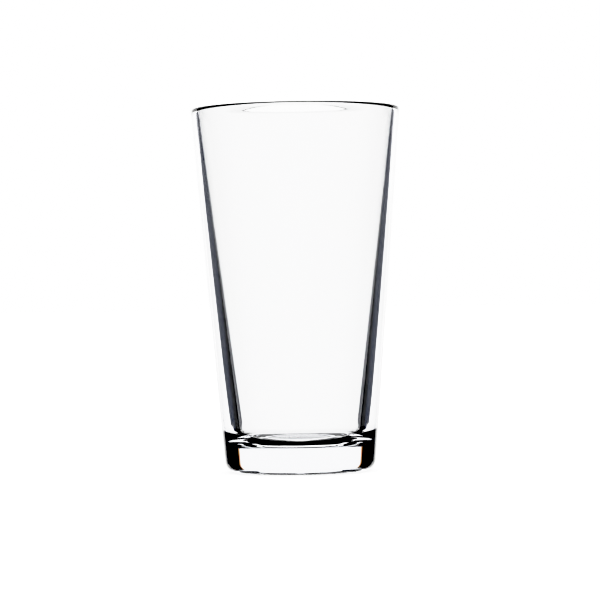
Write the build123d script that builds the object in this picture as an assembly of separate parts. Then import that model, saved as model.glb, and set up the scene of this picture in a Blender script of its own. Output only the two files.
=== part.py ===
from build123d import *
import os
from math import radians, tan

# A conical mixing glass: one round piece of clear glass, open at the top, with a thick solid base.
# Millimetres. The origin is the centre of the circle it stands on, and +Z is its axis.

height = 153.5
rim_corner_diameter = 88.22     # where the outer cone would meet the lip's plane with no rounding
foot_corner_diameter = 63.0     # where it would meet the table with no heel
heel_radius = 5.15
lip_thickness = 2.85
lip_outer_radius = 0.8          # the fire-polished lip is rounded further on its inside
lip_inner_radius = 1.7

cavity_taper = 6.63             # half angle of the inner cone, degrees: the wall thickens downwards
floor_thickness = 12.85         # glass under the middle of the cavity
floor_radius = 76.0             # the cavity's floor swells up in the middle, as a spherical cap
cavity_fillet = 8.8             # between the floor and the inner wall

foot_ring_diameter = 50.0       # inner edge of the flat ring that it stands on
push_up = 2.4                   # rise of the shallow dome inside that ring


def cap_depth(sphere_radius, distance):
    """How far a spherical cap falls away from its top at a distance from its axis."""
    return sphere_radius - (sphere_radius**2 - distance**2) ** 0.5


def cavity_corner(lip_inside):
    """Where the domed floor would meet the inner cone with no fillet, found in repeated steps."""
    distance = lip_inside
    for step in range(40):
        floor = floor_thickness - cap_depth(floor_radius, distance)
        distance = lip_inside - (height - floor) * tan(radians(cavity_taper))
    return distance, floor


def dome_arc(distance, sphere_radius, top):
    """Half of a dome's section, from the axis to a distance from it."""
    points = [(x, top - cap_depth(sphere_radius, x)) for x in (0, distance / 2, distance)]
    return ThreePointArc(*points)


def round_corner(section, corner, radius):
    fillet(section.vertices().sort_by_distance(Vector(*corner))[0], radius)


def glass_section():
    """Half section of the glass, on the side of +X."""
    foot_ring = foot_ring_diameter / 2
    dome_radius = (foot_ring**2 + push_up**2) / (2 * push_up)
    heel = (foot_corner_diameter / 2, 0)
    lip_outside = (rim_corner_diameter / 2, height)
    lip_inside = (lip_outside[0] - lip_thickness, height)
    corner = cavity_corner(lip_inside[0])
    with BuildSketch(Plane.XZ) as section:
        with BuildLine():
            Line((0, push_up), (0, floor_thickness))
            dome_arc(corner[0], floor_radius, floor_thickness)
            Polyline(corner, lip_inside, lip_outside, heel, (foot_ring, 0))
            dome_arc(foot_ring, dome_radius, push_up)
        make_face()
        round_corner(section, heel, heel_radius)
        round_corner(section, corner, cavity_fillet)
        round_corner(section, lip_outside, lip_outer_radius)
        round_corner(section, lip_inside, lip_inner_radius)
    return section.sketch


os.makedirs("parts", exist_ok=True)
mixing_glass = revolve(glass_section(), Axis.Z, 360)
export_step(mixing_glass, "parts/mixing_glass.step")
print(f"glass volume {mixing_glass.volume / 1000:.1f} cm3")
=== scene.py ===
import math

import bmesh
import bpy
from mathutils import Matrix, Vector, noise


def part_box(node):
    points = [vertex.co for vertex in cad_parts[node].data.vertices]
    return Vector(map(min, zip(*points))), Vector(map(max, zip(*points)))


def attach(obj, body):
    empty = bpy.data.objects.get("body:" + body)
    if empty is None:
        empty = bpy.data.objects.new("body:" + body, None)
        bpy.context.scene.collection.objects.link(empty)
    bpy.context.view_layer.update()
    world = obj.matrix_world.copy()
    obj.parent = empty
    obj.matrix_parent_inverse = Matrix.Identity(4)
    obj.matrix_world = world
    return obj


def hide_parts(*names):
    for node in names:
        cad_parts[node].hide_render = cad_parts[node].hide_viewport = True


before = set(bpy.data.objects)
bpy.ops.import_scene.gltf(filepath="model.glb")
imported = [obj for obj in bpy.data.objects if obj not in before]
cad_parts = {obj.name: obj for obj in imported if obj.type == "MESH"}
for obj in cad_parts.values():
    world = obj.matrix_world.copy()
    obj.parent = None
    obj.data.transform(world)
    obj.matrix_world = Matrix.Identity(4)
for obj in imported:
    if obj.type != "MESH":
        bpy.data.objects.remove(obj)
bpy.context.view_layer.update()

MM = 0.001
low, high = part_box("mixing_glass")
HEIGHT = high.z - low.z
WIDEST = high.x

# ---------------------------------------------------------------------------------------------
# Shape of the glass. Lengths in metres, angles in radians.

OUTER_TAPER = math.atan(12.61 / 153.5)
CAVITY_TAPER = math.radians(6.63)
LIP_OUTER_RADIUS = 0.8 * MM
LIP_INNER_RADIUS = 1.7 * MM
LIP_THICKNESS = 2.85 * MM
HEEL_RADIUS = 5.15 * MM
FLOOR_THICKNESS = 12.85 * MM
FLOOR_RADIUS = 76 * MM
CAVITY_FILLET = 8.8 * MM
FOOT_RING_RADIUS = 25 * MM
PUSH_UP = 2.4 * MM

# faint waves left by pressing, in the cavity only
FLOOR_WAVE_DEPTH = 0.02 * MM
FLOOR_WAVE_LENGTH = 5 * MM
WALL_WAVE_DEPTH = 0.006 * MM
WALL_WAVE_LENGTH = 11 * MM
WAVES_FADE = 15 * MM

SEGMENTS = 256


def swept(centre, radius, start, end, count):
    """Points on an arc. The angles are those of the glass's outward normal, in degrees, and a
    negative radius makes the arc hollow."""
    points = []
    for step in range(count + 1):
        angle = math.radians(start + (end - start) * step / count)
        points.append((centre[0] + radius * math.cos(angle), centre[1] + radius * math.sin(angle)))
    return points


def between(start, end, count):
    """Points strictly inside a straight run."""
    runs = []
    for step in range(1, count):
        part = step / count
        runs.append((start[0] + (end[0] - start[0]) * part, start[1] + (end[1] - start[1]) * part))
    return runs


def outline():
    """The glass's section as (distance from axis, height), from the axis under the foot, up the
    outside, over the lip and down the cavity to the axis again."""
    outer = math.degrees(OUTER_TAPER)
    inner = math.degrees(CAVITY_TAPER)
    lip_height = HEIGHT - LIP_OUTER_RADIUS
    lip_outside = WIDEST - LIP_OUTER_RADIUS
    rim_corner = lip_outside + LIP_OUTER_RADIUS * (1 / math.cos(OUTER_TAPER) + math.tan(OUTER_TAPER))

    def outer_centre(height, radius):
        wall = rim_corner - (HEIGHT - height) * math.tan(OUTER_TAPER)
        return wall - radius / math.cos(OUTER_TAPER)

    lip_inside = rim_corner - LIP_THICKNESS
    slope = math.tan(CAVITY_TAPER)

    def cavity_wall(height):
        return lip_inside - (HEIGHT - height) * slope

    dome_radius = (FOOT_RING_RADIUS**2 + PUSH_UP**2) / (2 * PUSH_UP)
    dome_angle = math.degrees(math.asin(FOOT_RING_RADIUS / dome_radius))
    underside = swept((0, PUSH_UP - dome_radius), -dome_radius, -90, -90 - dome_angle, 12)

    heel = swept((outer_centre(HEEL_RADIUS, HEEL_RADIUS), HEEL_RADIUS), HEEL_RADIUS, -90, -outer, 16)
    lip_out = swept((lip_outside, lip_height), LIP_OUTER_RADIUS, -outer, 90, 10)
    inside_height = HEIGHT - LIP_INNER_RADIUS
    inside_centre = cavity_wall(inside_height) + LIP_INNER_RADIUS / math.cos(CAVITY_TAPER)
    lip_in = swept((inside_centre, inside_height), LIP_INNER_RADIUS, 90, 180 - inner, 10)

    floor_centre = FLOOR_THICKNESS - FLOOR_RADIUS
    base = cavity_wall(0) - CAVITY_FILLET / math.cos(CAVITY_TAPER)
    a = 1 + slope**2
    b = base * slope - floor_centre
    c = base**2 + floor_centre**2 - (FLOOR_RADIUS + CAVITY_FILLET) ** 2
    fillet_height = (-b + math.sqrt(b * b - a * c)) / a
    fillet_out = base + slope * fillet_height
    floor_angle = math.degrees(math.atan2(fillet_out, fillet_height - floor_centre))
    fillet = swept((fillet_out, fillet_height), -CAVITY_FILLET, 180 - inner, 90 - floor_angle, 32)
    cavity_floor = swept((0, floor_centre), FLOOR_RADIUS, 90 - floor_angle, 90, 24)

    wall_steps = 60
    points = underside
    points += between(underside[-1], heel[0], 4)
    points += heel
    points += between(heel[-1], lip_out[0], wall_steps)
    points += lip_out
    points += lip_in
    points += between(lip_in[-1], fillet[0], wall_steps)
    points += fillet
    points += cavity_floor[1:]
    return points


def lathe(name, points, segments):
    """A closed mesh of revolution. The first and last points are on the axis."""
    mesh = bmesh.new()
    rings = []
    for radius, height in points:
        if radius < 1e-7:
            rings.append([mesh.verts.new((0, 0, height))])
            continue
        ring = []
        for step in range(segments):
            turn = 2 * math.pi * step / segments
            ring.append(mesh.verts.new((radius * math.cos(turn), radius * math.sin(turn), height)))
        rings.append(ring)
    for lower, upper in zip(rings, rings[1:]):
        for step in range(segments):
            after = (step + 1) % segments
            if len(lower) == 1:
                mesh.faces.new((lower[0], upper[after], upper[step]))
            elif len(upper) == 1:
                mesh.faces.new((lower[step], lower[after], upper[0]))
            else:
                mesh.faces.new((lower[step], lower[after], upper[after], upper[step]))
    for face in mesh.faces:
        face.smooth = True
    data = bpy.data.meshes.new(name)
    mesh.to_mesh(data)
    mesh.free()
    piece = bpy.data.objects.new(name, data)
    bpy.context.collection.objects.link(piece)
    return piece


def smooth_step(value, start, end):
    part = min(max((value - start) / (end - start), 0), 1)
    return part * part * (3 - 2 * part)


def add_waves(piece):
    """Uneven glass: short waves on the cavity's floor, and longer, shallower ones up its wall
    that die out towards the lip."""
    for vertex in piece.data.vertices:
        place = vertex.co
        across = math.hypot(place.x, place.y)
        outside = WIDEST - (HEIGHT - place.z) * math.tan(OUTER_TAPER)
        if place.z < FLOOR_THICKNESS / 2 or across > outside - LIP_THICKNESS / 2:
            continue
        on_wall = smooth_step(across, WAVES_FADE, WAVES_FADE + CAVITY_FILLET)
        below_lip = smooth_step(HEIGHT - place.z, 0, WAVES_FADE)
        floor_wave = noise.noise(place / FLOOR_WAVE_LENGTH) * FLOOR_WAVE_DEPTH * (1 - on_wall)
        wall_wave = noise.noise(place / WALL_WAVE_LENGTH) * WALL_WAVE_DEPTH * on_wall * below_lip
        stretch = 1 + wall_wave / max(across, MM)
        vertex.co = (place.x * stretch, place.y * stretch, place.z + floor_wave)


# ---------------------------------------------------------------------------------------------
# Materials


def glass_material():
    material = bpy.data.materials.new("clear_glass")
    material.use_nodes = True
    tree = material.node_tree
    shader = tree.nodes["Principled BSDF"]
    shader.inputs["Base Color"].default_value = (1, 1, 1, 1)
    shader.inputs["Roughness"].default_value = 0
    shader.inputs["IOR"].default_value = 1.52
    shader.inputs["Transmission Weight"].default_value = 1
    absorb = tree.nodes.new("ShaderNodeVolumeAbsorption")
    absorb.inputs["Color"].default_value = (0.78, 0.80, 0.85, 1)
    absorb.inputs["Density"].default_value = 10
    tree.links.new(absorb.outputs[0], tree.nodes["Material Output"].inputs["Volume"])
    return material


# ---------------------------------------------------------------------------------------------
# Studio. Directions are in degrees: turn is the angle from straight behind the glass, and rise
# the angle above the horizon. Brightness is relative to plain white.

WHITE = 1.24
FLANK_BRIGHTNESS = 0.052
FLANK_COLOUR = (0.46, 0.58, 1.0)
FRINGE_COLOUR = (0.75, 0.42, 0.19)

BACK_HALF_WIDTH = 41.2
BACK_TOP = 42
TABLE_EDGE = -0.5
# a ray mirrored more often than this on its way through the glass comes out black
MOST_MIRRORINGS = 8.5

FLOOR_HALF_SIZE = 20
FLOOR_GAP = 0.05 * MM
FLOOR_GLOW = 0.4
FLOOR_GREY = 0.93

CAMERA_LENS = 165
CAMERA_SENSOR = 36
CAMERA_DISTANCE = 1163 * MM
CAMERA_HEIGHT = 72.4 * MM
CAMERA_ASIDE = 0.85 * MM
CAMERA_ROLL = math.radians(-0.9)

# brightness in the scene, and as printed
PRINT_CURVE = ((0.03, 0.002), (0.11, 0.085), (0.25, 0.28), (0.58, 0.88), (0.8, 0.95))
BRIGHTNESS_CURVE = 3


class Nodes:
    """Small helper that writes shader arithmetic."""

    def __init__(self, tree):
        self.tree = tree

    def new(self, kind, **settings):
        node = self.tree.nodes.new(kind)
        for key, value in settings.items():
            setattr(node, key, value)
        return node

    def feed(self, socket, value):
        if isinstance(value, (int, float)):
            socket.default_value = value
        else:
            self.tree.links.new(value, socket)

    def math(self, operation, *values):
        node = self.new("ShaderNodeMath", operation=operation)
        for socket, value in zip(node.inputs, values):
            self.feed(socket, value)
        return node.outputs[0]

    def product(self, first, second):
        return self.math("MULTIPLY", first, second)

    def less(self, first, second):
        return self.math("SUBTRACT", first, second)

    def brighter(self, first, second):
        return self.math("MAXIMUM", first, second)

    def equals(self, value, whole):
        return self.math("COMPARE", value, whole, 0.5)

    def map_range(self, node, value, start, end, at_start, at_end):
        self.feed(node.inputs["Value"], value)
        self.feed(node.inputs["From Min"], start)
        self.feed(node.inputs["From Max"], end)
        self.feed(node.inputs["To Min"], at_start)
        self.feed(node.inputs["To Max"], at_end)
        return node.outputs["Result"]

    def fade(self, value, start, end, at_start=1.0, at_end=0.0):
        """Smooth step from at_start, below start, to at_end, above end."""
        node = self.new("ShaderNodeMapRange", interpolation_type="SMOOTHSTEP")
        return self.map_range(node, value, start, end, at_start, at_end)

    def slope(self, value, start, end, at_start, at_end):
        """Straight line through two points, with no ends."""
        node = self.new("ShaderNodeMapRange", clamp=False)
        return self.map_range(node, value, start, end, at_start, at_end)


class Surround(Nodes):
    """The world's arithmetic: where a ray points, and what it met in the glass on its way."""

    def __init__(self, tree):
        super().__init__(tree)
        axes = self.new("ShaderNodeSeparateXYZ")
        self.feed(axes.inputs[0], self.new("ShaderNodeTexCoord").outputs["Generated"])
        x, y, z = axes.outputs
        self.turn = self.math("ABSOLUTE", self.math("DEGREES", self.math("ARCTAN2", x, y)))
        self.rise = self.math("DEGREES", self.math("ARCSINE", z))

        path = self.new("ShaderNodeLightPath").outputs
        mirrorings = path["Glossy Depth"]
        surfaces = path["Transmission Depth"]
        self.never_mirrored = self.math("LESS_THAN", mirrorings, 0.5)
        self.mirrored_once = self.equals(mirrorings, 1)
        self.escaped = self.math("LESS_THAN", mirrorings, MOST_MIRRORINGS)
        self.in_and_out = self.equals(surfaces, 2)
        self.across_cavity = self.math("GREATER_THAN", surfaces, 3.5)
        met_no_glass = self.math("ADD", path["Is Camera Ray"], path["Diffuse Depth"])
        self.plain = self.math("GREATER_THAN", met_no_glass, 0.5)

    def away_from(self, middle):
        return self.math("ABSOLUTE", self.less(self.turn, middle))

    def panel(self, away, half_width, blur, bottom, top, end_blur):
        across = self.fade(self.less(away, half_width), -blur, blur)
        under = self.fade(self.rise, bottom - end_blur, bottom + end_blur, 0, 1)
        over = self.fade(self.rise, top - end_blur, top + end_blur)
        return self.product(across, self.product(under, over))


def main_panels(n):
    """The panel behind the glass, and the table, which narrows towards the glass and at the
    horizon. No real lamp does the rest, which goes by how often a ray was refracted and mirrored:
    both are dimmer for rays that crossed the cavity and were mirrored once, the table also for
    steep rays that crossed it, and rays mirrored once between one way in and one way out see a
    dimmer back panel when they are low, and a strip of their own on the table."""
    at_foot = n.product(n.product(n.in_and_out, n.mirrored_once), n.fade(n.rise, 9, 13))
    on_floor = n.product(n.across_cavity, n.mirrored_once)
    lost = n.product(on_floor, n.fade(n.rise, -14, 9, at_start=0.2, at_end=0.5))
    steep = n.fade(n.rise, -24, -14, at_start=0.18, at_end=0)

    back = n.panel(n.turn, BACK_HALF_WIDTH, blur=0.9, bottom=TABLE_EDGE, top=BACK_TOP, end_blur=0.8)
    back_share = n.less(n.less(1, at_foot), lost)

    at_horizon = n.fade(n.rise, -10, -7.5, at_start=34, at_end=29)
    near_glass = n.slope(n.rise, -12, -48, at_start=34, at_end=14)
    table_width = n.math("MINIMUM", at_horizon, near_glass)
    table = n.panel(n.turn, table_width, blur=0.7, bottom=-50, top=1, end_blur=0.8)
    table_share = n.less(n.less(1, lost), n.product(n.across_cavity, steep))

    foot = n.panel(n.turn, 38.5, blur=0.7, bottom=-30, top=-10, end_blur=0.8)
    return [n.product(back, back_share), n.product(table, table_share), n.product(foot, at_foot)]


def side_panels(n):
    """What shows straight through the glass in views from the other sides, and from higher up."""
    beside = n.product(n.fade(n.rise, -5, 1, at_start=0.35), n.fade(n.turn, 58, 66, 0, 1))
    panels = [
        n.panel(n.turn, 12, blur=4, bottom=-85, top=-46, end_blur=2),
        n.panel(n.away_from(45), 15, blur=3, bottom=-36, top=-18, end_blur=3),
        n.panel(n.away_from(135), 34, blur=5, bottom=-40, top=-12, end_blur=3),
        beside,
    ]
    for middle in (90, 180):
        away = n.away_from(middle)
        panels.append(n.panel(away, 34, blur=5, bottom=-12, top=0.5, end_blur=1))
        panels.append(n.panel(away, 14, blur=3, bottom=0.5, top=4, end_blur=1))
    return [n.product(panel, n.never_mirrored) for panel in panels]


def glass_surround(n):
    """Colour seen by rays that have met the glass."""
    flank = n.panel(n.turn, 45, blur=3, bottom=-15, top=TABLE_EDGE, end_blur=1)
    flank = n.product(flank, FLANK_BRIGHTNESS)
    # a warm rim of the panel behind the glass, for rays refracted twice, as by the solid base
    fringe = n.panel(n.away_from(42.0), 0.45, blur=0.35, bottom=TABLE_EDGE, top=BACK_TOP, end_blur=1)
    fringe = n.product(fringe, n.in_and_out)

    panels = main_panels(n) + side_panels(n)
    brightest = panels[0]
    for panel in panels[1:]:
        brightest = n.brighter(brightest, panel)
    colour = n.new("ShaderNodeCombineXYZ")
    for socket, cool, warm in zip(colour.inputs, FLANK_COLOUR, FRINGE_COLOUR):
        tinted = n.brighter(n.product(flank, cool), n.product(fringe, warm))
        n.feed(socket, n.product(n.escaped, n.brighter(brightest, tinted)))
    return colour.outputs[0]


def studio_world():
    """A plain white surround, as the camera and every dull surface see it. Rays that have met
    the glass see white panels instead, with dark gaps between them, which draw its edges dark."""
    world = bpy.data.worlds.new("studio")
    bpy.context.scene.world = world
    world.use_nodes = True
    tree = world.node_tree
    tree.nodes.clear()
    n = Surround(tree)
    mixed = n.new("ShaderNodeMix", data_type="VECTOR")
    factor = mixed.inputs["Factor"]
    seen_by_glass = mixed.inputs[4]
    seen_plainly = mixed.inputs[5]
    n.feed(factor, n.plain)
    n.feed(seen_by_glass, glass_surround(n))
    seen_plainly.default_value = (1, 1, 1)
    background = n.new("ShaderNodeBackground")
    n.feed(background.inputs["Color"], mixed.outputs[1])
    background.inputs["Strength"].default_value = WHITE
    output = n.new("ShaderNodeOutputWorld")
    n.feed(output.inputs["Surface"], background.outputs[0])


def floor_material():
    material = bpy.data.materials.new("floor")
    material.use_nodes = True
    shader = material.node_tree.nodes["Principled BSDF"]
    shader.inputs["Base Color"].default_value = (FLOOR_GREY, FLOOR_GREY, FLOOR_GREY, 1)
    shader.inputs["Roughness"].default_value = 1
    shader.inputs["Specular IOR Level"].default_value = 0
    shader.inputs["Emission Color"].default_value = (1, 1, 1, 1)
    shader.inputs["Emission Strength"].default_value = FLOOR_GLOW
    return material


def floor():
    """A plain floor that the glass stands on. The glass sees the world's table instead of it."""
    mesh = bmesh.new()
    bmesh.ops.create_grid(mesh, x_segments=1, y_segments=1, size=FLOOR_HALF_SIZE)
    data = bpy.data.meshes.new("floor")
    mesh.to_mesh(data)
    mesh.free()
    data.materials.append(floor_material())
    plane = bpy.data.objects.new("floor", data)
    plane.location.z = low.z - FLOOR_GAP
    plane.visible_transmission = False
    plane.visible_glossy = False
    bpy.context.collection.objects.link(plane)


def camera():
    data = bpy.data.cameras.new("camera")
    data.lens = CAMERA_LENS
    data.sensor_width = CAMERA_SENSOR
    data.clip_end = 100
    piece = bpy.data.objects.new("camera", data)
    bpy.context.collection.objects.link(piece)
    place = Matrix.Translation((CAMERA_ASIDE, -CAMERA_DISTANCE, low.z + CAMERA_HEIGHT))
    level = Matrix.Rotation(math.pi / 2, 4, "X")
    piece.matrix_world = place @ level @ Matrix.Rotation(CAMERA_ROLL, 4, "Z")
    bpy.context.scene.camera = piece


def print_contrast():
    """The contrast of a product photograph: deep blacks, and whites that level off gently."""
    view = bpy.context.scene.view_settings
    view.view_transform = "Standard"
    view.use_curve_mapping = True
    view.curve_mapping.white_level = (WHITE, WHITE, WHITE)
    curve = view.curve_mapping.curves[BRIGHTNESS_CURVE]
    for brightness, printed in PRINT_CURVE:
        curve.points.new(brightness, printed)
    view.curve_mapping.update()


studio_world()
floor()
camera()
print_contrast()

glass = lathe("glass", outline(), SEGMENTS)
add_waves(glass)
glass.data.materials.append(glass_material())
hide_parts("mixing_glass")
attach(glass, "root")
